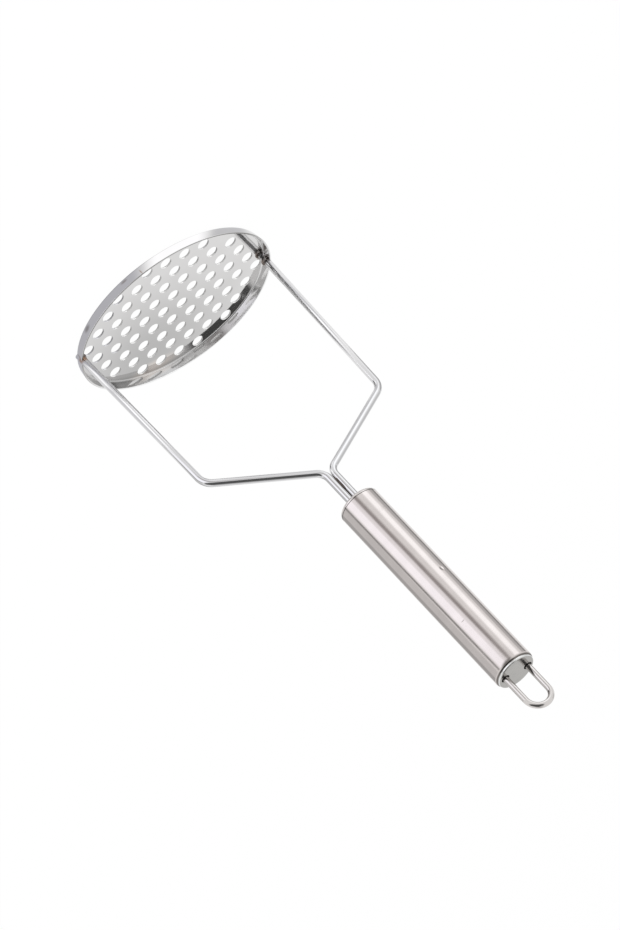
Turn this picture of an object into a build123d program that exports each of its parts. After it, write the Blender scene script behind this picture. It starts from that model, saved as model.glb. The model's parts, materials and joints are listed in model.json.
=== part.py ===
from build123d import *
import math
import os

# Potato masher, all stainless steel. It stands on the underside of its oval
# mashing tray with the handle upright: +Z runs up the handle, X runs across
# the two legs and the origin is the middle of the tray's underside.
# Lengths are in millimetres.

os.makedirs("parts", exist_ok=True)

# Mashing tray, pressed from one sheet
SHEET = 0.8
TRAY_LENGTH = 101.6
TRAY_WIDTH = 80.8
TRAY_HEIGHT = 5.1
WALL_LEAN = 0.6
TRAY_BEND_INSIDE = 0.8
RIM_ROUNDING = 0.25

# Perforation: staggered rows, punched a little off the oval's long axis
HOLE_DIAMETER = 5.6
HOLE_PITCH = 9.96
ROW_PITCH = 7.91
ROW_STAGGER_share = 0.5
PATTERN_TURN_DEGREES = -1.25
PATTERN_X = 5.62
PATTERN_Y = -1.68
HOLE_EDGE_MARGIN = 4.85

# Leg wires
WIRE_DIAMETER = 3.4
FOOT_HEIGHT = 1.0
FOOT_INSET = 1.3
LEG_LEAN = 2.6
SHOULDER_HEIGHT = 89.3
SHOULDER_BEND = 7.0
NECK_SPREAD = 1.8
NECK_HEIGHT = 113.8
NECK_BEND = 6.0
NOTCH_CLEARANCE = 0.05
WIRE_TAIL = 12.0

# Foot welds
FOOT_WELD_RADIUS = 2.4
FOOT_WELD_LOW = 2.3
FOOT_WELD_LENGTH = 2.3

# Neck weld
NECK_WELD_RADIUS = 0.9
NECK_WELD_LENGTH = 7.0
NECK_WELD_GAP = 5.0

# Handle tube and its front cap
TUBE_DIAMETER = 19.0
TUBE_WALL = 0.8
NECK_LENGTH = 21.2
HANDLE_LENGTH = 106.4
TUBE_END_ROUNDING = 0.55
CAP_LENGTH = 2.0
CAP_ROUNDING = 1.5
CAP_SKIRT = 6.0
CAP_FIT = 0.05
WIRE_HOLE_CLEARANCE = 0.06
CAP_WELD_MARGIN = 1.2
CAP_WELD_HEIGHT = 1.2

# Rear cap and hanging loop
LIP_RADIUS = 9.05
LIP_HEIGHT = 1.1
LIP_WIDTH = 0.9
LIP_ROUNDING = 0.35
RECESS_DEPTH = 0.9
LOOP_WIRE = 2.8
LOOP_HALF_WIDTH = 5.8
LOOP_REACH = 20.4
LOOP_TAIL = 7.5
LOOP_HOLE_CLEARANCE = 0.35
LOOP_WELD_MARGIN = 0.55
LOOP_WELD_HEIGHT = 1.2

# Worked out from the sizes above
WIRE_RADIUS = WIRE_DIAMETER / 2
TUBE_RADIUS = TUBE_DIAMETER / 2
TUBE_BORE = TUBE_RADIUS - TUBE_WALL
HANDLE_FRONT = NECK_HEIGHT + NECK_LENGTH
HANDLE_REAR = HANDLE_FRONT + HANDLE_LENGTH
TUBE_START = HANDLE_FRONT + CAP_LENGTH
HOLLOW_HEIGHT = TRAY_HEIGHT - SHEET
HOLLOW_LEAN = WALL_LEAN * HOLLOW_HEIGHT / TRAY_HEIGHT
NECK_WELD_MIDDLE = NECK_HEIGHT + NECK_WELD_GAP + NECK_WELD_LENGTH / 2
FOOT_SPREAD = TRAY_LENGTH / 2 - FOOT_INSET
SHOULDER_SPREAD = FOOT_SPREAD - LEG_LEAN
SLOPE = LEG_LEAN / (SHOULDER_HEIGHT - FOOT_HEIGHT)
CAP_FLOOR = HANDLE_FRONT + SHEET
CAP_SPIGOT = TUBE_BORE - CAP_FIT
LIP_TOP = HANDLE_REAR + LIP_HEIGHT
REAR_FLOOR = LIP_TOP - RECESS_DEPTH
REAR_UNDERSIDE = REAR_FLOOR - SHEET


# Mashing tray. A solid oval that widens a little towards its rim is made
# first, with a rounded bottom edge; the hollow above the floor is taken from
# it, then the pattern is punched.
with BuildPart() as tray_hollow:
    with BuildSketch(Plane.XY.offset(SHEET)):
        Ellipse(
            TRAY_LENGTH / 2 - SHEET - HOLLOW_LEAN,
            TRAY_WIDTH / 2 - SHEET - HOLLOW_LEAN,
        )
    with BuildSketch(Plane.XY.offset(TRAY_HEIGHT)):
        Ellipse(TRAY_LENGTH / 2 - SHEET, TRAY_WIDTH / 2 - SHEET)
    loft()
    fillet(tray_hollow.faces().sort_by(Axis.Z)[0].edges(), radius=TRAY_BEND_INSIDE)


def inside_margin(x, y, margin):
    # True when the point keeps its distance from the tray's outer oval.
    half_length = TRAY_LENGTH / 2
    half_width = TRAY_WIDTH / 2
    for step in range(360):
        angle = math.radians(step)
        gap = math.hypot(
            x - half_length * math.cos(angle), y - half_width * math.sin(angle)
        )
        if gap < margin:
            return False
    return (x / half_length) ** 2 + (y / half_width) ** 2 < 1


def hole_centres():
    # Rows run along the tray's length, each row half a pitch off the next.
    turn = math.radians(PATTERN_TURN_DEGREES)
    rows = int(TRAY_WIDTH / ROW_PITCH)
    columns = int(TRAY_LENGTH / HOLE_PITCH)
    centres = []
    for row in range(-rows, rows + 1):
        for column in range(-columns, columns + 1):
            along = (column + row * ROW_STAGGER_share) * HOLE_PITCH
            across = row * ROW_PITCH
            x = PATTERN_X + along * math.cos(turn) - across * math.sin(turn)
            y = PATTERN_Y + along * math.sin(turn) + across * math.cos(turn)
            if inside_margin(x, y, HOLE_EDGE_MARGIN):
                centres.append((x, y))
    return centres


def foot_plane(side):
    # Square to the leg at its lower end; side is -1 on the left, 1 on the right.
    return Plane(
        origin=(side * FOOT_SPREAD, 0, FOOT_HEIGHT),
        x_dir=(0, 1, 0),
        z_dir=(-side * SLOPE, 0, 1),
    )


with BuildPart() as mashing_tray:
    with BuildSketch():
        Ellipse(TRAY_LENGTH / 2 - WALL_LEAN, TRAY_WIDTH / 2 - WALL_LEAN)
    with BuildSketch(Plane.XY.offset(TRAY_HEIGHT)):
        Ellipse(TRAY_LENGTH / 2, TRAY_WIDTH / 2)
    loft()
    fillet(
        mashing_tray.faces().sort_by(Axis.Z)[0].edges(),
        radius=TRAY_BEND_INSIDE + SHEET,
    )
    add(tray_hollow.part, mode=Mode.SUBTRACT)
    fillet(
        mashing_tray.faces().sort_by(Axis.Z)[-1].edges(),
        radius=RIM_ROUNDING,
    )
    with BuildSketch():
        with Locations(hole_centres()):
            Circle(HOLE_DIAMETER / 2)
    extrude(amount=TRAY_HEIGHT, mode=Mode.SUBTRACT)
    # A notch in the wall at each end takes the foot of a leg.
    for notch_side in (-1, 1):
        with BuildSketch(foot_plane(notch_side)):
            Circle(WIRE_RADIUS + NOTCH_CLEARANCE)
        extrude(amount=TRAY_HEIGHT, mode=Mode.SUBTRACT)
mashing_tray.part.label = "mashing_tray"


# Leg wires, one bent wire on each side, mirror images of each other. Each
# rises from its notch, turns in at the shoulder and up again at the neck,
# and ends inside the handle.
def leg_wire(side):
    with BuildPart() as wire:
        with BuildLine(Plane.XZ) as path:
            FilletPolyline(
                (side * FOOT_SPREAD, FOOT_HEIGHT),
                (side * SHOULDER_SPREAD, SHOULDER_HEIGHT),
                (side * NECK_SPREAD, NECK_HEIGHT),
                (side * NECK_SPREAD, HANDLE_FRONT + WIRE_TAIL),
                radius=(SHOULDER_BEND, NECK_BEND),
            )
        with BuildSketch(foot_plane(side)):
            Circle(WIRE_RADIUS)
        sweep(path=path.line)
    return wire


left_leg_wire = leg_wire(-1)
left_leg_wire.part.label = "left_leg_wire"
right_leg_wire = leg_wire(1)
right_leg_wire.part.label = "right_leg_wire"


# Foot welds. A collar of weld metal wraps the inner side of each foot and
# holds it to the tray's wall.
def foot_weld(side, wire):
    with BuildPart() as weld:
        middle = FOOT_WELD_LOW + FOOT_WELD_LENGTH / 2
        spread = FOOT_SPREAD - SLOPE * (middle - FOOT_HEIGHT)
        with Locations((side * spread, 0, middle)):
            Cylinder(FOOT_WELD_RADIUS, FOOT_WELD_LENGTH)
        add(tray_hollow.part, mode=Mode.INTERSECT)
        add(wire.part, mode=Mode.SUBTRACT)
    return weld


left_foot_weld = foot_weld(-1, left_leg_wire)
left_foot_weld.part.label = "left_foot_weld"
right_foot_weld = foot_weld(1, right_leg_wire)
right_foot_weld.part.label = "right_foot_weld"


# Neck weld. It fills the groove between the two wires just under the handle.
with BuildPart() as neck_weld:
    with Locations((0, NECK_WELD_RADIUS, NECK_WELD_MIDDLE)):
        Cylinder(NECK_WELD_RADIUS, NECK_WELD_LENGTH)
    fillet(
        neck_weld.edges().filter_by(GeomType.CIRCLE), radius=NECK_WELD_RADIUS / 2
    )
    add(left_leg_wire.part, mode=Mode.SUBTRACT)
    add(right_leg_wire.part, mode=Mode.SUBTRACT)
neck_weld.part.label = "neck_weld"


# Front cap. A pressed cup with a rounded edge closes the front of the tube;
# its skirt reaches into the bore and its slot lets the wires in.
with BuildPart() as front_cap:
    with BuildSketch(Plane.XY.offset(HANDLE_FRONT)):
        Circle(TUBE_RADIUS)
    extrude(amount=CAP_LENGTH)
    fillet(front_cap.faces().sort_by(Axis.Z)[0].edges(), radius=CAP_ROUNDING)
    with BuildSketch(Plane.XY.offset(TUBE_START)):
        Circle(CAP_SPIGOT)
    extrude(amount=CAP_SKIRT)
    with BuildSketch(Plane.XY.offset(CAP_FLOOR)):
        Circle(CAP_SPIGOT - SHEET)
    extrude(amount=CAP_LENGTH + CAP_SKIRT, mode=Mode.SUBTRACT)
    with BuildSketch(Plane.XY.offset(HANDLE_FRONT)):
        SlotCenterToCenter(
            NECK_SPREAD * 2, WIRE_DIAMETER + 2 * WIRE_HOLE_CLEARANCE
        )
    extrude(amount=SHEET, mode=Mode.SUBTRACT)
front_cap.part.label = "front_cap"


# Front cap weld, the bead inside the cap that holds both wires to it.
with BuildPart() as front_cap_weld:
    with BuildSketch(Plane.XY.offset(CAP_FLOOR)):
        SlotCenterToCenter(NECK_SPREAD * 2, WIRE_DIAMETER + 2 * CAP_WELD_MARGIN)
    extrude(amount=CAP_WELD_HEIGHT)
    add(left_leg_wire.part, mode=Mode.SUBTRACT)
    add(right_leg_wire.part, mode=Mode.SUBTRACT)
front_cap_weld.part.label = "front_cap_weld"


# Handle tube, a plain length of round tube with a rounded rear edge.
with BuildPart() as handle_tube:
    with BuildSketch(Plane.XY.offset(TUBE_START)):
        Circle(TUBE_RADIUS)
        Circle(TUBE_BORE, mode=Mode.SUBTRACT)
    extrude(amount=HANDLE_REAR - TUBE_START)
    fillet(
        handle_tube.edges().filter_by(GeomType.CIRCLE).group_by(Axis.Z)[-1].sort_by(
            SortBy.RADIUS
        )[-1],
        radius=TUBE_END_ROUNDING,
    )
handle_tube.part.label = "handle_tube"


# Rear cap. A lip stands on the end of the tube round a sunk flat floor with
# a hole for each side of the loop; the skirt below reaches into the bore.
with BuildPart() as rear_cap:
    with BuildSketch(Plane.XY.offset(HANDLE_REAR)):
        Circle(LIP_RADIUS)
    extrude(amount=LIP_HEIGHT)
    fillet(rear_cap.faces().sort_by(Axis.Z)[-1].edges(), radius=LIP_ROUNDING)
    with BuildSketch(Plane.XY.offset(HANDLE_REAR - CAP_SKIRT)):
        Circle(TUBE_BORE - CAP_FIT)
    extrude(amount=CAP_SKIRT)
    with BuildSketch(Plane.XY.offset(REAR_FLOOR)):
        Circle(LIP_RADIUS - LIP_WIDTH)
    extrude(amount=RECESS_DEPTH, mode=Mode.SUBTRACT)
    with BuildSketch(Plane.XY.offset(HANDLE_REAR - CAP_SKIRT)):
        Circle(TUBE_BORE - CAP_FIT - SHEET)
    extrude(amount=REAR_UNDERSIDE - HANDLE_REAR + CAP_SKIRT, mode=Mode.SUBTRACT)
    with BuildSketch(Plane.XY.offset(REAR_UNDERSIDE)):
        with Locations((-LOOP_HALF_WIDTH, 0), (LOOP_HALF_WIDTH, 0)):
            Circle(LOOP_WIRE / 2 + LOOP_HOLE_CLEARANCE)
    extrude(amount=SHEET, mode=Mode.SUBTRACT)
rear_cap.part.label = "rear_cap"


# Hanging loop, one wire bent to a U; both tails run on inside the cap.
with BuildPart() as hang_loop:
    arc_centre = LIP_TOP + LOOP_REACH - LOOP_WIRE / 2 - LOOP_HALF_WIDTH
    tail_end = REAR_FLOOR - LOOP_TAIL
    with BuildLine(Plane.XZ) as loop_path:
        Line((-LOOP_HALF_WIDTH, tail_end), (-LOOP_HALF_WIDTH, arc_centre))
        ThreePointArc(
            (-LOOP_HALF_WIDTH, arc_centre),
            (0, arc_centre + LOOP_HALF_WIDTH),
            (LOOP_HALF_WIDTH, arc_centre),
        )
        Line((LOOP_HALF_WIDTH, arc_centre), (LOOP_HALF_WIDTH, tail_end))
    with BuildSketch(Plane.XY.offset(tail_end)):
        with Locations((-LOOP_HALF_WIDTH, 0)):
            Circle(LOOP_WIRE / 2)
    sweep(path=loop_path.line)
hang_loop.part.label = "hang_loop"


# Loop welds, a ring of weld metal under the cap's floor on each tail.
def loop_weld(side):
    with BuildPart() as weld:
        with BuildSketch(Plane.XY.offset(REAR_UNDERSIDE - LOOP_WELD_HEIGHT)):
            with Locations((side * LOOP_HALF_WIDTH, 0)):
                Circle(LOOP_WIRE / 2 + LOOP_WELD_MARGIN)
                Circle(LOOP_WIRE / 2, mode=Mode.SUBTRACT)
        extrude(amount=LOOP_WELD_HEIGHT)
    return weld


left_loop_weld = loop_weld(-1)
left_loop_weld.part.label = "left_loop_weld"
right_loop_weld = loop_weld(1)
right_loop_weld.part.label = "right_loop_weld"


export_step(mashing_tray.part, "parts/mashing_tray.step")
export_step(left_leg_wire.part, "parts/left_leg_wire.step")
export_step(right_leg_wire.part, "parts/right_leg_wire.step")
export_step(left_foot_weld.part, "parts/left_foot_weld.step")
export_step(right_foot_weld.part, "parts/right_foot_weld.step")
export_step(neck_weld.part, "parts/neck_weld.step")
export_step(front_cap.part, "parts/front_cap.step")
export_step(front_cap_weld.part, "parts/front_cap_weld.step")
export_step(handle_tube.part, "parts/handle_tube.step")
export_step(rear_cap.part, "parts/rear_cap.step")
export_step(hang_loop.part, "parts/hang_loop.step")
export_step(left_loop_weld.part, "parts/left_loop_weld.step")
export_step(right_loop_weld.part, "parts/right_loop_weld.step")
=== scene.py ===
import json
import math

import bmesh
import bpy
from mathutils import Matrix, Vector, noise

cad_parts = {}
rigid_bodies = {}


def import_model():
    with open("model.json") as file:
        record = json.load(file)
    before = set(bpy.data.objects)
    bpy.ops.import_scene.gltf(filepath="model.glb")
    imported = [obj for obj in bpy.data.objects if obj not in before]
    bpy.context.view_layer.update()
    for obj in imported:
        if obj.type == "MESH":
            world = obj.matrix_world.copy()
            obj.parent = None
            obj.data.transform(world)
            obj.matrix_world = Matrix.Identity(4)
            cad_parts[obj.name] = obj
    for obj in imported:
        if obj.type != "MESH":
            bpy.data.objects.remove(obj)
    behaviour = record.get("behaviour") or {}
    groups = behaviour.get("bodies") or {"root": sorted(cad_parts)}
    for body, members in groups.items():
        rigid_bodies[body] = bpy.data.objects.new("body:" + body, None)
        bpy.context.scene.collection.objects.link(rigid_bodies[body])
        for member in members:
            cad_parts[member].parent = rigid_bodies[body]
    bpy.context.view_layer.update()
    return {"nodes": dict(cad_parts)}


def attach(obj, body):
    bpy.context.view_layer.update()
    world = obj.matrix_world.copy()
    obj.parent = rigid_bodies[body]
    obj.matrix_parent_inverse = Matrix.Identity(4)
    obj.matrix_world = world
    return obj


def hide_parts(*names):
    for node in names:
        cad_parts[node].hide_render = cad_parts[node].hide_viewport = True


for leftover in list(bpy.data.objects):
    bpy.data.objects.remove(leftover)
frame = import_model()
nodes = frame["nodes"]
scene = bpy.context.scene
scene.view_settings.view_transform = "Standard"


# Mashing tray. An oval dish pressed from 0.8 mm stainless sheet with a low
# wall that leans out a little, punched with staggered rows of round holes
# and polished. The two leg wires are welded into its wall.
# Sizes are in millimetres; marks in the materials are placed in metres.
SHEET = 0.8
TRAY_HALF_LENGTH = 50.8
TRAY_HALF_WIDTH = 40.385
TRAY_HEIGHT = 5.1
WALL_LEAN = 0.6
BEND_OUTSIDE = 1.6
BEND_INSIDE = 0.8
RIM_ROUNDING = 0.25
TRAY_STEPS = 288
BEND_STEPS = 12
RIM_STEPS = 4
FLAT_STRIP = 0.012
# The side that gets the rim's painted highlight, how fast it turns to painted shade towards
# the near side, and the outer bend's share of it.
FAR_SIDE = Vector((0.46, -0.89))
SIDE_CONTRAST = 2.5
OUTER_BEND_LIGHT = 0.6


def tray_profile():
    # Distance in from the top oval and height, from the underside, round
    # the outer bend, up the leaning wall, over the rim and down inside.
    lean = math.atan2(WALL_LEAN, TRAY_HEIGHT)

    def wall(height):
        return WALL_LEAN * (1.0 - height / TRAY_HEIGHT)

    outer_middle = wall(BEND_OUTSIDE) + BEND_OUTSIDE / math.cos(lean)
    inner_middle = SHEET + wall(SHEET + BEND_INSIDE) + BEND_INSIDE / math.cos(lean)
    strip = max(outer_middle, inner_middle) + FLAT_STRIP
    points = [(strip, 0.0)]
    for step in range(BEND_STEPS + 1):
        turn = (math.pi / 2 - lean) * step / BEND_STEPS
        points.append((
            outer_middle - BEND_OUTSIDE * math.sin(turn),
            BEND_OUTSIDE - BEND_OUTSIDE * math.cos(turn),
        ))
    rim_low = TRAY_HEIGHT - RIM_ROUNDING
    for step in range(RIM_STEPS + 1):
        turn = math.pi / 2 * step / RIM_STEPS
        points.append((
            wall(rim_low) + RIM_ROUNDING - RIM_ROUNDING * math.cos(turn),
            rim_low + RIM_ROUNDING * math.sin(turn),
        ))
    for step in range(RIM_STEPS + 1):
        turn = math.pi / 2 * step / RIM_STEPS
        points.append((
            wall(rim_low) + SHEET - RIM_ROUNDING + RIM_ROUNDING * math.sin(turn),
            rim_low + RIM_ROUNDING * math.cos(turn),
        ))
    for step in range(BEND_STEPS + 1):
        turn = lean + (math.pi / 2 - lean) * step / BEND_STEPS
        points.append((
            inner_middle - BEND_INSIDE * math.cos(turn),
            SHEET + BEND_INSIDE - BEND_INSIDE * math.sin(turn),
        ))
    points.append((strip, SHEET))
    return points


def pressed_wall():
    # The profile carried round the oval. The rim's flat top and the outer
    # bend carry painted light: 1 on the far side, where they get a painted
    # highlight, to -1 on the near one, where they get painted shade. The
    # wall's inside is marked as duller.
    profile = tray_profile()
    rim_light_marks = [0.0] * len(profile)
    dulled = [0.0] * len(profile)
    inner_edge = 1 + (BEND_STEPS + 1) + (RIM_STEPS + 1)
    rim_start, rim_end = inner_edge - 2, inner_edge + RIM_STEPS
    for row in range(rim_start, rim_end):
        rim_light_marks[row] = 1.0
    for row in range(1, BEND_STEPS - 1):
        rim_light_marks[row] = OUTER_BEND_LIGHT
    for row in range(rim_end, len(profile) - 2):
        dulled[row] = 1.0
    mesh = bpy.data.meshes.new("pressed_wall")
    form = bmesh.new()
    rim = form.verts.layers.float.new("rim")
    inside = form.verts.layers.float.new("inside")
    rings = []
    for step in range(TRAY_STEPS):
        turn = 2 * math.pi * step / TRAY_STEPS
        x = TRAY_HALF_LENGTH * math.cos(turn)
        y = TRAY_HALF_WIDTH * math.sin(turn)
        out = Vector((math.cos(turn) / TRAY_HALF_LENGTH, math.sin(turn) / TRAY_HALF_WIDTH))
        out.normalize()
        rings.append([
            form.verts.new((x - out.x * inset, y - out.y * inset, height))
            for inset, height in profile
        ])
        side = max(-1.0, min(1.0, SIDE_CONTRAST * FAR_SIDE.dot(out)))
        for corner, rim_light_mark, dull in zip(rings[-1], rim_light_marks, dulled):
            corner[rim] = rim_light_mark * side
            corner[inside] = dull
    for step in range(TRAY_STEPS):
        here, there = rings[step], rings[(step + 1) % TRAY_STEPS]
        for row in range(len(profile) - 1):
            face = form.faces.new((here[row], there[row], there[row + 1], here[row + 1]))
            face.smooth = True
    form.to_mesh(mesh)
    form.free()
    return mesh


def perforation_tree():
    # Finds the floor's rim in the pressed wall, sets out the staggered rows,
    # keeps the holes that clear the wall, and closes the floor round them.
    tree = bpy.data.node_groups.new("perforated_floor", "GeometryNodeTree")
    sockets = tree.interface
    sockets.new_socket("Wall", in_out="INPUT", socket_type="NodeSocketGeometry")
    sizes = (
        ("Sheet", SHEET),
        ("Half Length", TRAY_HALF_LENGTH),
        ("Half Width", TRAY_HALF_WIDTH),
        ("Hole Radius", 2.8),
        ("Hole Pitch", 9.96),
        ("Row Pitch", 7.91),
        ("Row Stagger", 0.5),
        ("Pattern Turn", math.radians(-1.25)),
        ("Pattern X", 5.62),
        ("Pattern Y", -1.68),
        ("Edge Margin", 4.85),
        ("Punch Rounding", 0.06),
    )
    for label, value in sizes:
        size = sockets.new_socket(label, in_out="INPUT", socket_type="NodeSocketFloat")
        size.default_value = value
    sockets.new_socket("Finish", in_out="INPUT", socket_type="NodeSocketMaterial")
    sockets.new_socket("Edge Finish", in_out="INPUT", socket_type="NodeSocketMaterial")
    sockets.new_socket("Tray", in_out="OUTPUT", socket_type="NodeSocketGeometry")
    entry = tree.nodes.new("NodeGroupInput")
    given = entry.outputs
    leave = tree.nodes.new("NodeGroupOutput")

    def join(source, target):
        tree.links.new(source, target)

    def sum_of(operation, *values):
        node = tree.nodes.new("ShaderNodeMath")
        node.operation = operation
        for socket, value in zip(node.inputs, values):
            if isinstance(value, (int, float)):
                socket.default_value = value
            else:
                join(value, socket)
        return node.outputs[0]

    # The lattice runs so many rows and columns either way from its middle.
    rows, columns = 10, 10
    index = tree.nodes.new("GeometryNodeInputIndex").outputs[0]
    row = sum_of("SUBTRACT", sum_of("FLOOR", sum_of("DIVIDE", index, 2 * columns + 1)), rows)
    column = sum_of("SUBTRACT", sum_of("MODULO", index, 2 * columns + 1), columns)
    along = sum_of("MULTIPLY_ADD", row, given["Row Stagger"], column)
    along = sum_of("MULTIPLY", along, given["Hole Pitch"])
    across = sum_of("MULTIPLY", row, given["Row Pitch"])
    cosine = sum_of("COSINE", given["Pattern Turn"])
    sine = sum_of("SINE", given["Pattern Turn"])
    x = sum_of("SUBTRACT", sum_of("MULTIPLY", along, cosine), sum_of("MULTIPLY", across, sine))
    y = sum_of("ADD", sum_of("MULTIPLY", along, sine), sum_of("MULTIPLY", across, cosine))
    place = tree.nodes.new("ShaderNodeCombineXYZ")
    join(sum_of("ADD", x, given["Pattern X"]), place.inputs["X"])
    join(sum_of("ADD", y, given["Pattern Y"]), place.inputs["Y"])
    lattice = tree.nodes.new("GeometryNodePoints")
    lattice.inputs["Count"].default_value = (2 * rows + 1) * (2 * columns + 1)
    join(place.outputs[0], lattice.inputs["Position"])

    # The outer oval, to measure each hole's distance from it.
    oval = tree.nodes.new("GeometryNodeCurvePrimitiveCircle")
    oval.inputs["Resolution"].default_value = 360
    oval.inputs["Radius"].default_value = 1.0
    stretch = tree.nodes.new("GeometryNodeTransform")
    spread = tree.nodes.new("ShaderNodeCombineXYZ")
    join(given["Half Length"], spread.inputs["X"])
    join(given["Half Width"], spread.inputs["Y"])
    spread.inputs["Z"].default_value = 1.0
    join(oval.outputs["Curve"], stretch.inputs["Geometry"])
    join(spread.outputs[0], stretch.inputs["Scale"])
    line = tree.nodes.new("GeometryNodeCurveToMesh")
    join(stretch.outputs[0], line.inputs["Curve"])
    near = tree.nodes.new("GeometryNodeProximity")
    near.target_element = "EDGES"
    join(line.outputs[0], near.inputs[0])
    spot = tree.nodes.new("GeometryNodeInputPosition")
    parts = tree.nodes.new("ShaderNodeSeparateXYZ")
    join(spot.outputs[0], parts.inputs[0])
    share_x = sum_of("DIVIDE", parts.outputs["X"], given["Half Length"])
    share_y = sum_of("DIVIDE", parts.outputs["Y"], given["Half Width"])
    reach_x = sum_of("MULTIPLY", share_x, share_x)
    reach_y = sum_of("MULTIPLY", share_y, share_y)
    reach = sum_of("ADD", reach_x, reach_y)
    outside = sum_of("GREATER_THAN", reach, 1.0)
    close = sum_of("LESS_THAN", near.outputs["Distance"], given["Edge Margin"])
    drop = tree.nodes.new("GeometryNodeDeleteGeometry")
    drop.domain = "POINT"
    join(lattice.outputs[0], drop.inputs["Geometry"])
    join(sum_of("MAXIMUM", outside, close), drop.inputs["Selection"])
    centres = drop.outputs[0]

    # The wall's two open edges, from which the floor's faces are filled.
    hole_steps = 48
    neighbours = tree.nodes.new("GeometryNodeInputMeshEdgeNeighbors")
    open_edge = sum_of("LESS_THAN", neighbours.outputs[0], 1.5)
    middle = sum_of("MULTIPLY", given["Sheet"], 0.5)

    def floor_face(on_top, radius):
        # One face: its open edge of the wall, less a circle for each hole.
        level = sum_of("GREATER_THAN" if on_top else "LESS_THAN", parts.outputs["Z"], middle)
        rim = tree.nodes.new("GeometryNodeMeshToCurve")
        join(given["Wall"], rim.inputs["Mesh"])
        join(sum_of("MULTIPLY", open_edge, level), rim.inputs["Selection"])
        circle = tree.nodes.new("GeometryNodeCurvePrimitiveCircle")
        circle.inputs["Resolution"].default_value = hole_steps
        join(radius, circle.inputs["Radius"])
        copies = tree.nodes.new("GeometryNodeInstanceOnPoints")
        join(centres, copies.inputs["Points"])
        join(circle.outputs["Curve"], copies.inputs["Instance"])
        real = tree.nodes.new("GeometryNodeRealizeInstances")
        join(copies.outputs[0], real.inputs[0])
        both = tree.nodes.new("GeometryNodeJoinGeometry")
        join(rim.outputs[0], both.inputs[0])
        join(real.outputs[0], both.inputs[0])
        fill = tree.nodes.new("GeometryNodeFillCurve")
        join(both.outputs[0], fill.inputs["Curve"])
        flat = tree.nodes.new("GeometryNodeSetShadeSmooth")
        flat.inputs["Shade Smooth"].default_value = False
        join(fill.outputs[0], flat.inputs[0])
        lift = tree.nodes.new("GeometryNodeSetPosition")
        join(flat.outputs[0], lift.inputs["Geometry"])
        if not on_top:
            down = tree.nodes.new("GeometryNodeFlipFaces")
            join(lift.outputs[0], down.inputs[0])
            return down.outputs[0]
        raised = tree.nodes.new("ShaderNodeCombineXYZ")
        join(given["Sheet"], raised.inputs["Z"])
        join(raised.outputs[0], lift.inputs["Offset"])
        return lift.outputs[0]

    top_radius = sum_of("ADD", given["Hole Radius"], given["Punch Rounding"])
    top = floor_face(True, top_radius)
    bottom = floor_face(False, given["Hole Radius"])

    # The punched edge of a hole: rounded in at the top, straight below.
    arc_rings = 3
    lining = tree.nodes.new("GeometryNodeMeshGrid")
    lining.inputs["Vertices X"].default_value = hole_steps + 1
    lining.inputs["Vertices Y"].default_value = arc_rings + 2
    ring = sum_of("MODULO", index, arc_rings + 2)
    step = sum_of("FLOOR", sum_of("DIVIDE", index, arc_rings + 2))
    turn = sum_of("MULTIPLY", step, 2 * math.pi / hole_steps)
    lean = sum_of("MULTIPLY", sum_of("MINIMUM", ring, arc_rings), math.pi / 2 / arc_rings)
    beside = sum_of("SUBTRACT", 1.0, sum_of("SINE", lean))
    widen = sum_of("MULTIPLY", given["Punch Rounding"], beside)
    radius = sum_of("ADD", given["Hole Radius"], widen)
    below = sum_of("SUBTRACT", 1.0, sum_of("COSINE", lean))
    sink = sum_of("MULTIPLY", given["Punch Rounding"], below)
    height = sum_of("SUBTRACT", given["Sheet"], sink)
    height = sum_of("MULTIPLY", height, sum_of("LESS_THAN", ring, arc_rings + 0.5))
    bore = tree.nodes.new("ShaderNodeCombineXYZ")
    join(sum_of("MULTIPLY", radius, sum_of("COSINE", turn)), bore.inputs["X"])
    join(sum_of("MULTIPLY", radius, sum_of("SINE", turn)), bore.inputs["Y"])
    join(height, bore.inputs["Z"])
    bend = tree.nodes.new("GeometryNodeSetPosition")
    join(lining.outputs["Mesh"], bend.inputs["Geometry"])
    join(bore.outputs[0], bend.inputs["Position"])
    linings = tree.nodes.new("GeometryNodeInstanceOnPoints")
    join(centres, linings.inputs["Points"])
    join(bend.outputs[0], linings.inputs["Instance"])
    punched = tree.nodes.new("GeometryNodeRealizeInstances")
    join(linings.outputs[0], punched.inputs[0])
    soft = tree.nodes.new("GeometryNodeSetShadeSmooth")
    join(punched.outputs[0], soft.inputs[0])

    def dressed(source, finish):
        dress = tree.nodes.new("GeometryNodeSetMaterial")
        join(source, dress.inputs["Geometry"])
        join(given[finish], dress.inputs["Material"])
        return dress.outputs[0]

    sheet = tree.nodes.new("GeometryNodeJoinGeometry")
    for source in (given["Wall"], top, bottom):
        join(source, sheet.inputs[0])
    whole = tree.nodes.new("GeometryNodeJoinGeometry")
    join(dressed(sheet.outputs[0], "Finish"), whole.inputs[0])
    join(dressed(soft.outputs[0], "Edge Finish"), whole.inputs[0])
    weld = tree.nodes.new("GeometryNodeMergeByDistance")
    weld.inputs["Distance"].default_value = 0.001
    join(whole.outputs[0], weld.inputs["Geometry"])
    metres = tree.nodes.new("GeometryNodeTransform")
    metres.inputs["Scale"].default_value = (0.001, 0.001, 0.001)
    join(weld.outputs[0], metres.inputs["Geometry"])
    real = tree.nodes.new("GeometryNodeRealizeInstances")
    join(metres.outputs[0], real.inputs[0])
    join(real.outputs[0], leave.inputs["Tray"])
    return tree


def add_node(tree, kind, **settings):
    # A shader node with its sockets, or else its own properties, set.
    node = tree.nodes.new(kind)
    for key, value in settings.items():
        if key in node.inputs:
            node.inputs[key].default_value = value
        else:
            setattr(node, key, value)
    return node


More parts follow.
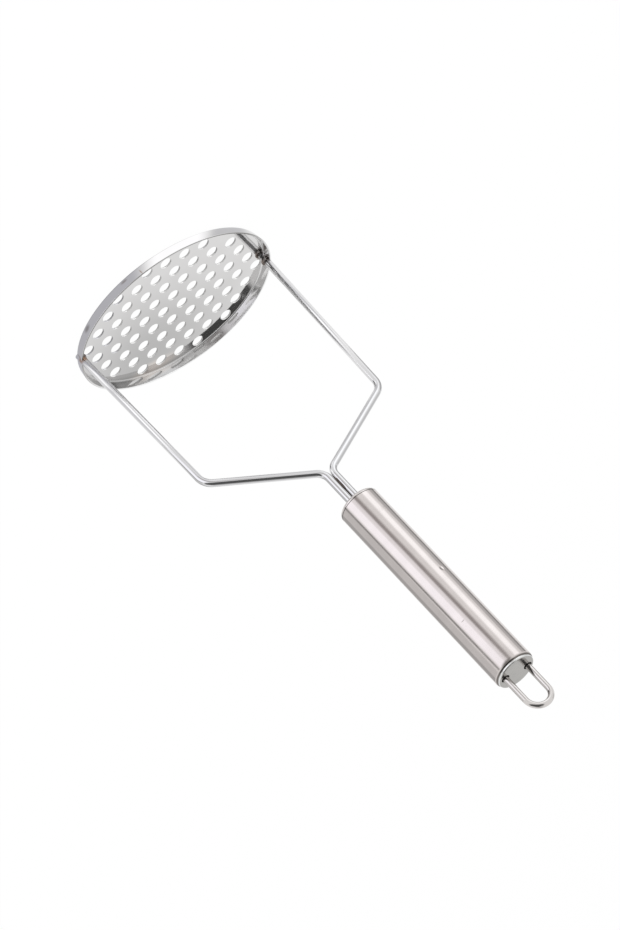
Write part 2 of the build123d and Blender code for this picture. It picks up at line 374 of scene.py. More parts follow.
def bare_steel(name):
    # Bare stainless steel: the tree, its metal shader and its coordinates.
    finish = bpy.data.materials.new(name)
    finish.use_nodes = True
    tree = finish.node_tree
    shader = tree.nodes["Principled BSDF"]
    shader.inputs["Metallic"].default_value = 1.0
    return finish, tree, shader, add_node(tree, "ShaderNodeTexCoord").outputs["Object"]


def mottle(tree, place, scale, low, high, detail=3.0, stretch=(1.0, 1.0, 1.0)):
    # Noise of so many lumps a metre, pulled long along an axis, low to high.
    pull = add_node(tree, "ShaderNodeMapping")
    pull.inputs["Scale"].default_value = stretch
    tree.links.new(place, pull.inputs["Vector"])
    cloud = add_node(tree, "ShaderNodeTexNoise", Scale=scale, Detail=detail)
    tree.links.new(pull.outputs["Vector"], cloud.inputs["Vector"])
    spread = add_node(tree, "ShaderNodeMapRange")
    spread.inputs["From Min"].default_value = 0.3
    spread.inputs["From Max"].default_value = 0.7
    spread.inputs["To Min"].default_value = low
    spread.inputs["To Max"].default_value = high
    tree.links.new(cloud.outputs["Fac"], spread.inputs["Value"])
    return spread.outputs["Result"]


def mark(tree, place, middle, reach, soft=0.5):
    # 1 inside an oval spot with these half sizes, fading to 0 at its edge.
    shift = add_node(tree, "ShaderNodeVectorMath", operation="SUBTRACT")
    tree.links.new(place, shift.inputs[0])
    shift.inputs[1].default_value = middle
    shrink = add_node(tree, "ShaderNodeVectorMath", operation="DIVIDE")
    tree.links.new(shift.outputs["Vector"], shrink.inputs[0])
    shrink.inputs[1].default_value = reach
    length = add_node(tree, "ShaderNodeVectorMath", operation="LENGTH")
    tree.links.new(shrink.outputs["Vector"], length.inputs[0])
    fade = add_node(tree, "ShaderNodeMapRange", interpolation_type="SMOOTHSTEP")
    fade.inputs["From Min"].default_value = 1.0
    fade.inputs["From Max"].default_value = 1.0 - soft
    tree.links.new(length.outputs["Value"], fade.inputs["Value"])
    return fade.outputs["Result"]


def tint(tree, amount, plain, stained):
    # From the plain colour at 0 to the stained one at 1. The mix node's
    # sockets 6 and 7 and its output 2 are the ones that carry colours.
    blend = add_node(tree, "ShaderNodeMix", data_type="RGBA")
    tree.links.new(amount, blend.inputs[0])
    for socket, colour in ((blend.inputs[6], plain), (blend.inputs[7], stained)):
        if isinstance(colour, tuple):
            socket.default_value = (*colour, 1.0)
        else:
            tree.links.new(colour, socket)
    return blend.outputs[2]


def relief(tree, height, strength, distance, under=None, sunk=False):
    # A surface raised, or sunk, where the height is 1, over another relief.
    bump = add_node(
        tree, "ShaderNodeBump", Strength=strength, Distance=distance, invert=sunk
    )
    tree.links.new(height, bump.inputs["Height"])
    if under is not None:
        tree.links.new(under, bump.inputs["Normal"])
    return bump.outputs["Normal"]


# The polished face. It has faint smears, a slight ripple from the press,
# painted shade darkening the floor, most towards the far wall, and these
# stains, one partly painted shade: middle, half sizes in metres, colour.
TRAY_STAINS_AND_SHADE = (
    # Two smudges and a brownish streak, low on the wall by the left leg.
    ((-0.0460, 0.0165, 0.0022), (0.0030, 0.0030, 0.0016), (0.40, 0.38, 0.37)),
    ((-0.0266, 0.0341, 0.0018), (0.0026, 0.0022, 0.0009), (0.44, 0.41, 0.39)),
    ((-0.0190, 0.0373, 0.0036), (0.0004, 0.0020, 0.0020), (0.46, 0.38, 0.33)),
    # A warm smear on the floor at the far wall.
    ((-0.0080, -0.0350, 0.0010), (0.0170, 0.0055, 0.0020), (0.66, 0.615, 0.58)),
    # The steel round the right foot, scorched and darkened further as a painted
    # dark reflection, and the scorched steel round the left one.
    ((0.0492, 0.0005, 0.0030), (0.0038, 0.0042, 0.0038), (0.22, 0.195, 0.18)),
    ((-0.0497, 0.0005, 0.0035), (0.0022, 0.0030, 0.0030), (0.36, 0.28, 0.23)),
)
tray_finish, tray_tree, tray_shader, place = bare_steel("polished_tray_steel")
inside = add_node(tray_tree, "ShaderNodeAttribute", attribute_name="inside")
brushed_inside = add_node(tray_tree, "ShaderNodeMix", data_type="FLOAT")
tray_tree.links.new(inside.outputs["Fac"], brushed_inside.inputs[0])
tray_tree.links.new(mottle(tray_tree, place, 70.0, 0.04, 0.08), brushed_inside.inputs[2])
tray_tree.links.new(mottle(tray_tree, place, 70.0, 0.10, 0.14), brushed_inside.inputs[3])
tray_tree.links.new(brushed_inside.outputs[0], tray_shader.inputs["Roughness"])
smears = mottle(tray_tree, place, 45.0, 0.0, 1.0)
shade = tint(tray_tree, smears, (0.705, 0.70, 0.698), (0.665, 0.658, 0.655))
# Painted shade: the floor is darkened, most at a spot towards the far wall.
floor_painted_shade = mark(tray_tree, place, (-0.0110, -0.0260, 0.0008), (0.0640, 0.0600, 0.0030), 1.0)
shade = tint(tray_tree, floor_painted_shade, shade, (0.46, 0.457, 0.454))
for middle, reach, spot_colour in TRAY_STAINS_AND_SHADE:
    shade = tint(tray_tree, mark(tray_tree, place, middle, reach, 0.8), shade, spot_colour)
# The rim marks paint light: a painted highlight on the far side, painted shade on the near
# side.
rim = add_node(tray_tree, "ShaderNodeAttribute", attribute_name="rim")
for sign, colour in ((1.0, (0.86, 0.86, 0.86)), (-1.0, (0.30, 0.295, 0.29))):
    rim_light_share = add_node(tray_tree, "ShaderNodeMath", operation="MULTIPLY", use_clamp=True)
    tray_tree.links.new(rim.outputs["Fac"], rim_light_share.inputs[0])
    rim_light_share.inputs[1].default_value = sign
    shade = tint(tray_tree, rim_light_share.outputs[0], shade, colour)
tray_tree.links.new(shade, tray_shader.inputs["Base Color"])
press_ripple = mottle(tray_tree, place, 150.0, 0.0, 1.0, 2.0)
tray_tree.links.new(
    relief(tray_tree, press_ripple, 0.03, 0.0004), tray_shader.inputs["Normal"]
)

# The sheared edge inside each hole, duller and streaked downwards, and given a
# painted highlight on one side.
edge_finish, edge_tree, edge_shader, place = bare_steel("sheared_tray_edge")
edge_shader.inputs["Roughness"].default_value = 0.34
streaks = mottle(edge_tree, place, 900.0, 0.0, 1.0, 3.0, (1.0, 1.0, 0.15))
hole_edge_highlight = add_node(edge_tree, "ShaderNodeAttribute", attribute_name="hole_edge_highlight")
torn = tint(edge_tree, streaks, (0.36, 0.355, 0.35), (0.46, 0.455, 0.45))
edge_tree.links.new(
    tint(edge_tree, hole_edge_highlight.outputs["Fac"], torn, (1.0, 0.995, 0.99)),
    edge_shader.inputs["Base Color"],
)
edge_tree.links.new(relief(edge_tree, streaks, 0.06, 0.0001), edge_shader.inputs["Normal"])

blank = bpy.data.objects.new("tray_blank", pressed_wall())
scene.collection.objects.link(blank)
punching = blank.modifiers.new("perforation", "NODES")
punching.node_group = perforation_tree()
for socket in punching.node_group.interface.items_tree:
    if socket.name == "Finish":
        punching[socket.identifier] = tray_finish
    if socket.name == "Edge Finish":
        punching[socket.identifier] = edge_finish
bpy.context.view_layer.update()
punched_tray = bpy.data.meshes.new_from_object(
    blank.evaluated_get(bpy.context.evaluated_depsgraph_get())
)
punched_tray.name = "punched_tray"

# One side of each hole's edge gets a painted highlight: the way that the
# edge lies from the hole's middle, in degrees, sets how bright it is painted.
HIGHLIGHT_FROM, HIGHLIGHT_FADES_FROM = -88.0, -20.0
hole_edge_highlight_layer = punched_tray.attributes.new("hole_edge_highlight", "FLOAT", "FACE")
for face in punched_tray.polygons:
    if punched_tray.materials[face.material_index] == edge_finish:
        way = math.degrees(math.atan2(-face.normal.y, -face.normal.x))
        if way < HIGHLIGHT_FROM:
            hole_edge_highlight_layer.data[face.index].value = 1.0
        elif way < HIGHLIGHT_FADES_FROM:
            share = (HIGHLIGHT_FADES_FROM - way) / (HIGHLIGHT_FADES_FROM - HIGHLIGHT_FROM)
            hole_edge_highlight_layer.data[face.index].value = 0.5 * share
bpy.data.objects.remove(blank)
tray = bpy.data.objects.new("punched_tray", punched_tray)
scene.collection.objects.link(tray)
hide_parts("mashing_tray")
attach(tray, "root")


# Leg wires. Two lengths of 3.4 mm bright drawn wire, each bent at the
# shoulder and the neck, welded to the tray's wall and inside the handle.
wire_finish, wire_tree, wire_shader, place = bare_steel("bright_drawn_wire")
# The right leg is a little less glossy up to its shoulder, and painted paler
# there as a painted highlight.
right_leg_highlight = mark(wire_tree, place, (0.0480, 0.0, 0.0400), (0.0060, 0.0060, 0.0500), 0.4)
wire_tree.links.new(
    tint(wire_tree, right_leg_highlight, mottle(wire_tree, place, 60.0, 0.08, 0.12), (0.15, 0.15, 0.15)),
    wire_shader.inputs["Roughness"],
)
dulled = mottle(wire_tree, place, 35.0, 0.0, 1.0)
shade = tint(wire_tree, dulled, (0.69, 0.687, 0.695), (0.65, 0.646, 0.652))
# Painted highlight: the right leg's colour is lightened up to its shoulder.
shade = tint(wire_tree, right_leg_highlight, shade, (0.77, 0.766, 0.77))
# Welding left the neck's groove and the left foot discoloured. The right
# foot is painted dark grey as a painted dark reflection.
for middle, reach, soft, weld_mark_colour in (
    ((0.0, 0.0008, 0.1245), (0.00050, 0.0026, 0.0125), 0.9, (0.16, 0.12, 0.10)),
    ((0.0490, 0.0, 0.0034), (0.0045, 0.0045, 0.0027), 0.6, (0.17, 0.152, 0.142)),
    ((-0.0490, 0.0010, 0.0046), (0.0040, 0.0040, 0.0022), 0.7, (0.42, 0.27, 0.19)),
):
    shade = tint(wire_tree, mark(wire_tree, place, middle, reach, soft), shade, weld_mark_colour)
wire_tree.links.new(shade, wire_shader.inputs["Base Color"])
drawn_lines = mottle(wire_tree, place, 1500.0, 0.0, 1.0, 2.0, (1.0, 1.0, 0.03))
wire_tree.links.new(
    relief(wire_tree, drawn_lines, 0.02, 0.00005), wire_shader.inputs["Normal"]
)
for name in ("left_leg_wire", "right_leg_wire"):
    nodes[name].material_slots[0].material = wire_finish


# Foot welds. A small uneven bead of weld metal is run round the inner side
# of each foot, from the tray's wall and back to it, and left heat tinted.
BEAD_RADIUS = 0.62
BEAD_HEIGHT = 3.1
BEAD_HALF_TURN = 98
BEAD_STRETCH = 1.3
FOOT_PLACE = 49.44
WIRE_RADIUS = 1.7
WIRE_GAP = 0.05


def weld_skin(name, rings):
    # A closed smooth skin over rings of points given in millimetres.
    mesh = bpy.data.meshes.new(name)
    form = bmesh.new()
    loops = [
        [form.verts.new([value / 1000 for value in point]) for point in ring]
        for ring in rings
    ]
    for here, there in zip(loops, loops[1:]):
        for corner in range(len(here)):
            after = (corner + 1) % len(here)
            form.faces.new((here[corner], here[after], there[after], there[corner]))
    form.faces.new(loops[0])
    form.faces.new(list(reversed(loops[-1])))
    bmesh.ops.recalc_face_normals(form, faces=form.faces)
    for face in form.faces:
        face.smooth = True
    form.to_mesh(mesh)
    form.free()
    return mesh


def foot_bead(side):
    # The bead swells and wanders a little, and tapers at both its ends.
    rings = []
    steps, round_steps = 36, 14
    for step in range(steps + 1):
        share = step / steps
        turn = math.radians(BEAD_HALF_TURN * (2 * share - 1))
        swell = noise.noise(Vector((share * 7.0, side * 3.1, 0.4)))
        taper = min(1.0, 0.35 + 5.0 * min(share, 1.0 - share))
        radius = BEAD_RADIUS * (1.0 + 0.28 * swell) * taper
        wander = noise.noise(Vector((share * 4.0, side * 7.7, 2.0)))
        height = BEAD_HEIGHT + 0.45 * wander
        ring = []
        for round_step in range(round_steps):
            lap = 2 * math.pi * round_step / round_steps
            reach = WIRE_RADIUS + WIRE_GAP + radius * math.cos(lap)
            ring.append((
                side * (FOOT_PLACE - reach * math.cos(turn)),
                reach * math.sin(turn),
                height + BEAD_STRETCH * radius * math.sin(lap),
            ))
        rings.append(ring)
    return weld_skin("foot_bead", rings)


weld_finish, weld_tree, weld_shader, place = bare_steel("heat_tinted_weld")
heat = mottle(weld_tree, place, 700.0, 0.0, 1.0)
shade = tint(weld_tree, heat, (0.33, 0.285, 0.26), (0.17, 0.14, 0.125))
# The right bead's ends are less burnt: grey at one, straw brown at the other.
for middle, colour in (
    ((0.0496, 0.0024, 0.0034), (0.44, 0.425, 0.41)),
    ((0.0492, -0.0022, 0.0032), (0.56, 0.42, 0.31)),
):
    bead_end = mark(weld_tree, place, middle, (0.0026, 0.0020, 0.0030), 0.7)
    shade = tint(weld_tree, bead_end, shade, colour)
weld_tree.links.new(shade, weld_shader.inputs["Base Color"])
scale = mottle(weld_tree, place, 1200.0, 0.24, 0.36)
weld_tree.links.new(scale, weld_shader.inputs["Roughness"])
spatter = mottle(weld_tree, place, 1500.0, 0.0, 1.0)
weld_tree.links.new(relief(weld_tree, spatter, 0.06, 0.0001), weld_shader.inputs["Normal"])
for side, name in ((-1, "left_foot_weld"), (1, "right_foot_weld")):
    mesh = foot_bead(side)
    mesh.materials.append(weld_finish)
    bead = bpy.data.objects.new(name.replace("weld", "bead"), mesh)
    scene.collection.objects.link(bead)
    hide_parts(name)
    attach(bead, "root")


# Neck weld. A dark narrow seam of weld metal in the groove between the two
# wires, just under the handle, with the ripples of its weld pool.
NECK_LOW = 118.85
NECK_HIGH = 125.75
SEAM_HALF_WIDTH = 0.60
SEAM_HALF_DEPTH = 0.50
SEAM_OUT = 0.82


def neck_seam():
    # The seam narrows to its ends and its face ripples along it.
    rings = []
    steps, round_steps = 56, 12
    for step in range(steps + 1):
        share = step / steps
        narrow = max(0.1, math.sqrt(max(0.0, 1.0 - (2.0 * share - 1.0) ** 6)))
        uneven = noise.noise(Vector((share * 6.0, 0.3, 5.0)))
        ripple = 0.05 * math.sin(share * 60.0) + 0.12 * uneven
        wide = SEAM_HALF_WIDTH * narrow
        deep = SEAM_HALF_DEPTH * narrow * (1.0 + ripple)
        ring = []
        for round_step in range(round_steps):
            lap = 2 * math.pi * round_step / round_steps
            ring.append((
                wide * math.cos(lap),
                SEAM_OUT + deep * math.sin(lap),
                NECK_LOW + (NECK_HIGH - NECK_LOW) * share,
            ))
        rings.append(ring)
    return weld_skin("neck_seam", rings)


seam_finish, seam_tree, seam_shader, place = bare_steel("dark_neck_seam")
seam_shader.inputs["Roughness"].default_value = 0.36
burnt = mottle(seam_tree, place, 600.0, 0.0, 1.0)
seam_tree.links.new(
    tint(seam_tree, burnt, (0.15, 0.125, 0.112), (0.06, 0.048, 0.042)),
    seam_shader.inputs["Base Color"],
)
pool = mottle(seam_tree, place, 1500.0, 0.0, 1.0)
seam_tree.links.new(relief(seam_tree, pool, 0.12, 0.0001), seam_shader.inputs["Normal"])
seam_mesh = neck_seam()
seam_mesh.materials.append(seam_finish)
seam = bpy.data.objects.new("neck_seam", seam_mesh)
scene.collection.objects.link(seam)
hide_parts("neck_weld")
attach(seam, "root")


# Front cap. A cup pressed from sheet with a rounded nose, pushed into the
# front end of the tube and welded to the wires behind its face.
cap_finish, cap_tree, cap_shader, place = bare_steel("pressed_cap_steel")
polish = mottle(cap_tree, place, 260.0, 0.12, 0.22, 4.0)
cap_tree.links.new(polish, cap_shader.inputs["Roughness"])
worn = mottle(cap_tree, place, 120.0, 0.0, 1.0)
shade = tint(cap_tree, worn, (0.66, 0.625, 0.61), (0.61, 0.575, 0.56))
# A dark line runs round it where the tube's end closes on it.
seam_line = mark(cap_tree, place, (0.0, 0.0, 0.13690), (1.0, 1.0, 0.00024), 0.5)
shade = tint(cap_tree, seam_line, shade, (0.05, 0.045, 0.04))
cap_tree.links.new(shade, cap_shader.inputs["Base Color"])
peel = mottle(cap_tree, place, 900.0, 0.0, 1.0)
cap_tree.links.new(relief(cap_tree, peel, 0.06, 0.0001), cap_shader.inputs["Normal"])
nodes["front_cap"].material_slots[0].material = cap_finish
nodes["front_cap_weld"].material_slots[0].material = weld_finish


# Handle tube. A length of 19 mm round tube with a fine satin finish, its
# grain run round it, with a shallow dent and a few scratches from use.
tube_finish, tube_tree, tube_shader, place = bare_steel("satin_tube_steel")
satin = mottle(tube_tree, place, 110.0, 0.10, 0.16, 4.0, (1.0, 1.0, 2.0))
tube_tree.links.new(satin, tube_shader.inputs["Roughness"])
handled = mottle(tube_tree, place, 60.0, 0.0, 1.0, 3.0, (1.0, 1.0, 3.0))
shade = tint(tube_tree, handled, (0.665, 0.6185, 0.602), (0.63, 0.586, 0.571))
# Painted shade: its rolled end is darkened all round, and darker farther up
# on the near side.
for middle, reach in (
    ((0.0, 0.0, 0.2413), (1.0, 1.0, 0.0008)),
    ((-0.0046, 0.0082, 0.2411), (0.0042, 0.0042, 0.0022)),
):
    painted_shade_end = mark(tube_tree, place, middle, reach, 0.7)
    shade = tint(tube_tree, painted_shade_end, shade, (0.17, 0.155, 0.145))
tube_tree.links.new(shade, tube_shader.inputs["Base Color"])

# The grain, then the dent, a scratch and a patch of scuffs over it in turn.
grain = mottle(tube_tree, place, 160.0, 0.0, 1.0, 5.0, (1.0, 1.0, 25.0))
surface = relief(tube_tree, grain, 0.07, 0.00005)
dent = mark(
    tube_tree, place, (0.00314, 0.00897, 0.18741), (0.0011, 0.0011, 0.0016), 1.0
)
surface = relief(tube_tree, dent, 0.6, 0.0005, surface, sunk=True)
scratch = mark(
    tube_tree, place, (-0.00578, 0.00754, 0.21331), (0.0014, 0.0012, 0.00022), 0.8
)
surface = relief(tube_tree, scratch, 0.8, 0.0001, surface, sunk=True)
scuffs = add_node(tube_tree, "ShaderNodeMath", operation="MULTIPLY")
patch = mark(tube_tree, place, (0.0021, 0.0092, 0.1488), (0.0034, 0.0030, 0.0013), 0.8)
tube_tree.links.new(patch, scuffs.inputs[0])
tube_tree.links.new(mottle(tube_tree, place, 2600.0, 0.0, 1.0), scuffs.inputs[1])
surface = relief(tube_tree, scuffs.outputs[0], 0.35, 0.0001, surface)
tube_tree.links.new(surface, tube_shader.inputs["Normal"])

TUBE_RADIUS = 9.5
TUBE_BORE = 8.7
TUBE_FRONT = 137.0
TUBE_REAR = 241.4
ROLL_DEPTH = 0.62
ROLL_LENGTH = 1.25
TURNED_STEPS = 192
SHARP_EDGE = math.radians(28)


def turned(name, profile, finish):
    # A closed profile of radius and height turned once round the handle's
    # axis, and its object. A radius of 0 closes to a single point.
    mesh = bpy.data.meshes.new(name)
    form = bmesh.new()
    columns = []
    for step in range(TURNED_STEPS):
        turn = 2 * math.pi * step / TURNED_STEPS
        columns.append([
            form.verts.new((
                radius * math.cos(turn) / 1000,
                radius * math.sin(turn) / 1000,
                height / 1000,
            ))
            for radius, height in profile
        ])
    for step in range(TURNED_STEPS):
        here, there = columns[step], columns[(step + 1) % TURNED_STEPS]
        for row in range(len(profile)):
            after = (row + 1) % len(profile)
            if profile[row][0] == 0.0 and profile[after][0] == 0.0:
                continue
            form.faces.new((here[row], there[row], there[after], here[after]))
    bmesh.ops.remove_doubles(form, verts=form.verts, dist=1e-7)
    bmesh.ops.recalc_face_normals(form, faces=form.faces)
    for face in form.faces:
        face.smooth = True
    for edge in form.edges:
        if len(edge.link_faces) == 2 and edge.calc_face_angle() > SHARP_EDGE:
            edge.smooth = False
    form.to_mesh(mesh)
    form.free()
    mesh.materials.append(finish)
    piece = bpy.data.objects.new(name, mesh)
    scene.collection.objects.link(piece)
    return piece


tube_profile = [(TUBE_BORE, TUBE_REAR), (TUBE_BORE, TUBE_FRONT), (TUBE_RADIUS, TUBE_FRONT)]
roll_steps = 12
for step in range(roll_steps + 1):
    turn = math.pi / 2 * step / roll_steps
    tube_profile.append((
        TUBE_RADIUS - ROLL_DEPTH * (1.0 - math.cos(turn)),
        TUBE_REAR - ROLL_LENGTH * (1.0 - math.sin(turn)),
    ))
rolled_tube = turned("rolled_tube", tube_profile, tube_finish)
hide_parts("handle_tube")
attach(rolled_tube, "root")


# Rear cap. Pressed from the same sheet to a flat disc with a softly rounded
# edge, a skirt that is pushed into the tube, and an easy hole for each side
# of the loop. Its flat is a little duller than the rest and painted darker as
# painted shade; its rounded edge is painted lighter as a painted highlight.
rear_finish, rear_tree, rear_shader, place = bare_steel("dull_rear_cap_steel")
brushed = mottle(rear_tree, place, 300.0, 0.16, 0.24, 4.0)
rear_tree.links.new(brushed, rear_shader.inputs["Roughness"])
flat_tone_mottle = mottle(rear_tree, place, 180.0, 0.0, 1.0)
flat_painted_shade = tint(rear_tree, flat_tone_mottle, (0.415, 0.405, 0.39), (0.375, 0.37, 0.355))
# Painted highlight on the rounded edge, and painted shade over the flat.
within_edge = mark(rear_tree, place, (0.0, 0.0, 0.2424), (0.0089, 0.0089, 1.0), 0.04)
rear_tree.links.new(
    tint(rear_tree, within_edge, (0.78, 0.78, 0.77), flat_painted_shade),
    rear_shader.inputs["Base Color"],
)
peel = mottle(rear_tree, place, 800.0, 0.0, 1.0)
rear_tree.links.new(relief(rear_tree, peel, 0.10, 0.0001), rear_shader.inputs["Normal"])

REAR_DISC = 242.42
DISC_UNDERSIDE = 240.8
DISC_ROUNDING = 0.6
REAR_EDGE = 8.9
REAR_FLAT = 8.40
SKIRT_OUTSIDE = 8.65
SKIRT_INSIDE = 7.85
SKIRT_END = 235.4
LOOP_PLACE = 5.8
LOOP_HOLE = 2.0
rear_profile = [(0.0, DISC_UNDERSIDE)]
rear_profile += [(radius, REAR_DISC) for radius in (0.0, 4.0, 7.6)]
round_steps = 10
for step in range(round_steps + 1):
    turn = math.pi / 2 * step / round_steps
    rear_profile.append((
        REAR_FLAT + (REAR_EDGE - REAR_FLAT) * math.sin(turn),
        REAR_DISC - DISC_ROUNDING * (1.0 - math.cos(turn)),
    ))
rear_profile += [
    (REAR_EDGE, TUBE_REAR),
    (SKIRT_OUTSIDE, TUBE_REAR),
    (SKIRT_OUTSIDE, SKIRT_END),
    (SKIRT_INSIDE, SKIRT_END),
    (SKIRT_INSIDE, DISC_UNDERSIDE),
]
whole_cap = turned("whole_rear_cap", rear_profile, rear_finish)
drills = []
for side in (-1, 1):
    drill_mesh = bpy.data.meshes.new("drill")
    form = bmesh.new()
    bmesh.ops.create_cone(
        form,
        cap_ends=True,
        segments=48,
        radius1=LOOP_HOLE / 1000,
        radius2=LOOP_HOLE / 1000,
        depth=0.006,
        matrix=Matrix.Translation((side * LOOP_PLACE / 1000, 0.0, 0.2415)),
    )
    form.to_mesh(drill_mesh)
    form.free()
    drill = bpy.data.objects.new("drill", drill_mesh)
    scene.collection.objects.link(drill)
    bore = whole_cap.modifiers.new("loop_hole", "BOOLEAN")
    bore.object = drill
    bore.operation = "DIFFERENCE"
    bore.solver = "EXACT"
    drills.append(drill)
bpy.context.view_layer.update()
drilled = bpy.data.meshes.new_from_object(
    whole_cap.evaluated_get(bpy.context.evaluated_depsgraph_get())
)
drilled.name = "drilled_rear_cap"
for leftover in (whole_cap, *drills):
    bpy.data.objects.remove(leftover)
drilled_cap = bpy.data.objects.new("drilled_rear_cap", drilled)
scene.collection.objects.link(drilled_cap)
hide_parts("rear_cap")
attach(drilled_cap, "root")


# Hanging loop. One 2.8 mm wire bent to a U, stood in two holes of the rear
# cap and held by a ring of weld under its floor on each side.
loop_finish, loop_tree, loop_shader, place = bare_steel("drawn_loop_wire")
gloss = mottle(loop_tree, place, 90.0, 0.10, 0.15)
loop_tree.links.new(gloss, loop_shader.inputs["Roughness"])
dulled = mottle(loop_tree, place, 60.0, 0.0, 1.0)
loop_tree.links.new(
    tint(loop_tree, dulled, (0.675, 0.65, 0.635), (0.62, 0.592, 0.575)),
    loop_shader.inputs["Base Color"],
)
nodes["hang_loop"].material_slots[0].material = loop_finish
for name in ("left_loop_weld", "right_loop_weld"):
    nodes[name].material_slots[0].material = weld_finish


# Floor. A plain sheet of white paper that runs out past the view on every
# side and keeps a faint shadow of the masher.
FLOOR_REACH = 8.0
floor_mesh = bpy.data.meshes.new("floor")
form = bmesh.new()
form.faces.new([
    form.verts.new((x * FLOOR_REACH, y * FLOOR_REACH, 0.0))
    for x, y in ((-1, -1), (1, -1), (1, 1), (-1, 1))
])
form.to_mesh(floor_mesh)
form.free()
floor = bpy.data.objects.new("floor", floor_mesh)
scene.collection.objects.link(floor)


def seen_directly(tree, most):
    # Camera, glossy and transmission rays all see the white background.
    ray = add_node(tree, "ShaderNodeLightPath")
    total = ray.outputs["Is Camera Ray"]
    for label in ("Is Glossy Ray", "Is Transmission Ray"):
        both = add_node(tree, "ShaderNodeMath", operation="MAXIMUM")
        tree.links.new(total, both.inputs[0])
        tree.links.new(ray.outputs[label], both.inputs[1])
        total = both.outputs[0]
    share = add_node(tree, "ShaderNodeMath", operation="MULTIPLY")
    tree.links.new(total, share.inputs[0])
    share.inputs[1].default_value = most
    return share.outputs[0]


paper = bpy.data.materials.new("white_paper")
paper.use_nodes = True
paper_tree = paper.node_tree
paper_tree.nodes.clear()
matt = add_node(paper_tree, "ShaderNodeBsdfDiffuse", Color=(0.88, 0.88, 0.88, 1.0))
glow = add_node(paper_tree, "ShaderNodeEmission", Color=(1.0, 1.0, 1.0, 1.0), Strength=1.0)
blend = add_node(paper_tree, "ShaderNodeMixShader")
paper_tree.links.new(seen_directly(paper_tree, 0.98), blend.inputs["Fac"])
paper_tree.links.new(matt.outputs[0], blend.inputs[1])
paper_tree.links.new(glow.outputs[0], blend.inputs[2])
sheet_out = add_node(paper_tree, "ShaderNodeOutputMaterial")
paper_tree.links.new(blend.outputs[0], sheet_out.inputs["Surface"])
floor_mesh.materials.append(paper)


# Studio. A white light tent all round, with softboxes and grey cards stood
# in it out of the camera's sight, which only the polished steel mirrors.
studio = bpy.data.worlds.new("studio")
scene.world = studio
studio.use_nodes = True
air = studio.node_tree
air.nodes.clear()
tent = add_node(air, "ShaderNodeBackground", Color=(1.0, 1.0, 1.0, 1.0), Strength=0.8)
plain = add_node(air, "ShaderNodeBackground", Color=(1.0, 1.0, 1.0, 1.0), Strength=1.0)
choose = add_node(air, "ShaderNodeMixShader")
air.links.new(seen_directly(air, 1.0), choose.inputs["Fac"])
air.links.new(tent.outputs[0], choose.inputs[1])
air.links.new(plain.outputs[0], choose.inputs[2])
sky = add_node(air, "ShaderNodeOutputWorld")
air.links.new(choose.outputs[0], sky.inputs["Surface"])

# Each card: its colour, where 1 is the tent's white; its direction, half
# width, the width over which its edge fades and its slant, all in degrees;
# and the distance and height of its foot and of its head, in metres.
CARDS = (
    ((1.48, 1.50, 1.52), 52.0, 7.0, 14.0, 0.0, (0.17, 0.0006), (0.28, 0.155)),
    ((1.42, 1.42, 1.49), 145.0, 14.0, 14.0, -16.0, (0.17, 0.0006), (0.28, 0.155)),
    ((1.10, 1.09, 1.12), 121.0, 3.0, 11.0, -16.0, (0.16, 0.0010), (0.26, 0.150)),
    ((0.42, 0.394, 0.392), 104.0, 3.0, 16.0, -16.0, (0.165, 0.0008), (0.27, 0.150)),
    ((0.34, 0.34, 0.34), 178.0, 2.0, 6.0, -16.0, (0.165, 0.0008), (0.27, 0.150)),
    ((0.32, 0.32, 0.32), -6.0, 3.0, 8.0, 0.0, (0.165, 0.0008), (0.27, 0.150)),
    ((0.62, 0.62, 0.62), 10.0, 7.0, 8.0, 0.0, (0.17, 0.0006), (0.28, 0.150)),
    ((0.75, 0.75, 0.75), -151.0, 19.0, 6.0, 0.0, (0.18, 0.0004), (0.29, 0.150)),
    ((0.50, 0.50, 0.50), -111.0, 14.0, 10.0, 0.0, (0.17, 0.0006), (0.28, 0.150)),
    ((0.11, 0.11, 0.11), 133.0, 48.0, 13.0, 0.0, (0.93, 0.37), (0.25, 1.10)),
    ((0.60, 0.60, 0.60), -150.0, 44.0, 16.0, 0.0, (0.80, 1.00), (0.10, 1.25)),
    ((0.75, 0.75, 0.75), -12.0, 26.0, 14.0, 0.0, (0.95, 0.28), (0.80, 0.66)),
    ((1.45, 1.45, 1.47), 87.0, 15.0, 14.0, 0.0, (0.030, 0.0002), (0.090, 0.0003)),
    ((0.61, 0.61, 0.65), 163.0, 40.0, 14.0, 0.0, (0.030, 0.0002), (0.064, 0.0003)),
    ((1.45, 1.45, 1.47), 165.0, 6.0, 6.0, 0.0, (0.0645, 0.0002), (0.092, 0.0003)),
    ((1.60, 1.60, 1.62), 146.0, 9.0, 6.0, 0.0, (0.090, 0.0002), (0.165, 0.0003)),
    ((0.86, 0.86, 0.88), 178.0, 14.0, 8.0, 0.0, (0.090, 0.0002), (0.165, 0.0003)),
    ((0.74, 0.74, 0.76), 46.0, 8.0, 12.0, 0.0, (0.030, 0.0002), (0.125, 0.0003)),
    ((1.30, 1.30, 1.30), 37.0, 5.0, 5.0, 0.0, (0.095, 0.0002), (0.150, 0.0003)),
)


# The height share of a card at which its slant turns it neither way; the
# height over which its head and a raised foot fade, as a share of its own;
# and the foot height above which a foot counts as raised.
SLANT_MIDDLE = 0.55
HEAD_FADE = 1 / 8
FOOT_FADE = 1 / 6
RAISED_FOOT = 0.01


